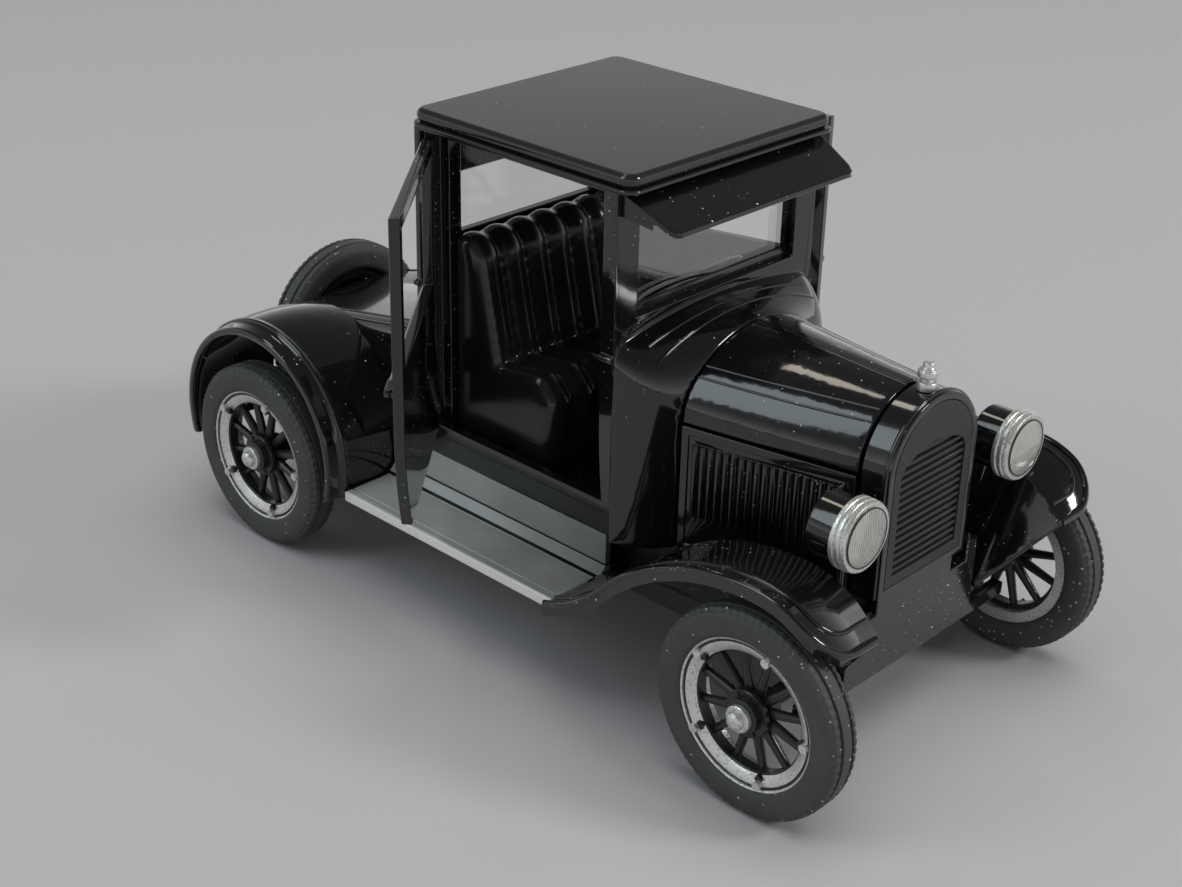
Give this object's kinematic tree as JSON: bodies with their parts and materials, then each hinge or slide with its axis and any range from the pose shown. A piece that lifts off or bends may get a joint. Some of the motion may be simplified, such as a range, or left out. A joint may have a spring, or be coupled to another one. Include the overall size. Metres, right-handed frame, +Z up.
{
  "type": "die-cast toy vintage coupe",
  "caption": "Die-cast toy of a nineteen-twenties coupe with a boxy cab, louvred hood, spoked wheels that roll, and rear-hinged doors that open",
  "frame": {"origin": "bottom centre of the whole toy's box with the doors as they stand in the picture, on the floor", "axes": "+X towards the radiator, +Y towards the car's left side, +Z up"},
  "size_m": [0.1088, 0.066, 0.0617],
  "materials": {
    "gloss_black": "gloss black enamel over die-cast metal",
    "satin_black": "satin black enamel",
    "grille_grey": "satin dark grey enamel",
    "silver_paint": "bright silver paint",
    "lamp_lens": "clear ribbed moulding over a silvered bowl",
    "window_clear": "clear moulded sheet",
    "seat_black": "semi-gloss black moulding",
    "wheel_black": "semi-gloss black moulding",
    "tyre_rubber": "matt dark grey rubber",
    "axle_steel": "drawn steel rod"
  },
  "bodies": {
    "car_body": {"base_plate": "satin_black", "body_shell": "gloss_black", "windscreen": "window_clear", "back_light": "window_clear", "roof": "gloss_black", "visor": "gloss_black", "hood": "gloss_black", "radiator_shell": "gloss_black", "grille": "grille_grey", "radiator_cap": "silver_paint", "front_apron": "satin_black", "rear_deck": "gloss_black", "seat": "seat_black", "steering_wheel": "seat_black", "spare_tyre": "tyre_rubber", "spare_rim": "silver_paint", "spare_carrier": "wheel_black", "hood_side_right": "gloss_black", "rear_fender_right": "gloss_black", "front_fender_right": "gloss_black", "running_board_right": "satin_black", "board_trim_right": "silver_paint", "lamp_body_right": "gloss_black", "lamp_bezel_right": "silver_paint", "lamp_lens_right": "lamp_lens", "hood_side_left": "gloss_black", "rear_fender_left": "gloss_black", "front_fender_left": "gloss_black", "running_board_left": "satin_black", "board_trim_left": "silver_paint", "lamp_body_left": "gloss_black", "lamp_bezel_left": "silver_paint", "lamp_lens_left": "lamp_lens"},
    "front_wheels": {"front_axle": "axle_steel", "front_wheel_right": "wheel_black", "front_wheel_left": "wheel_black", "front_rim_right": "silver_paint", "front_rim_left": "silver_paint", "front_tyre_right": "tyre_rubber", "front_tyre_left": "tyre_rubber", "front_hub_cap_right": "silver_paint", "front_hub_cap_left": "silver_paint"},
    "rear_wheels": {"rear_axle": "axle_steel", "rear_wheel_right": "wheel_black", "rear_wheel_left": "wheel_black", "rear_rim_right": "silver_paint", "rear_rim_left": "silver_paint", "rear_tyre_right": "tyre_rubber", "rear_tyre_left": "tyre_rubber", "rear_hub_cap_right": "silver_paint", "rear_hub_cap_left": "silver_paint"},
    "right_door": {"door_right": "gloss_black", "door_handle_right": "silver_paint"},
    "left_door": {"door_left": "gloss_black", "door_handle_left": "silver_paint"}
  },
  "joints": [
    {"name": "front_axle_spin", "type": "hinge", "parent": "car_body", "child": "front_wheels", "pos_m": [0.04226, 0.00541, 0.0121], "axis": [0, 1, 0], "continuous": true},
    {"name": "rear_axle_spin", "type": "hinge", "parent": "car_body", "child": "rear_wheels", "pos_m": [-0.03954, 0.00541, 0.0121], "axis": [0, 1, 0], "continuous": true},
    {"name": "right_door_hinge", "type": "hinge", "parent": "car_body", "child": "right_door", "pos_m": [-0.01554, -0.01159, 0.04], "axis": [0, 0, -1], "range_deg": [-49, 21]},
    {"name": "left_door_hinge", "type": "hinge", "parent": "car_body", "child": "left_door", "pos_m": [-0.01554, 0.02241, 0.04], "axis": [0, 0, 1], "range_deg": [-15, 55]}
  ]
}
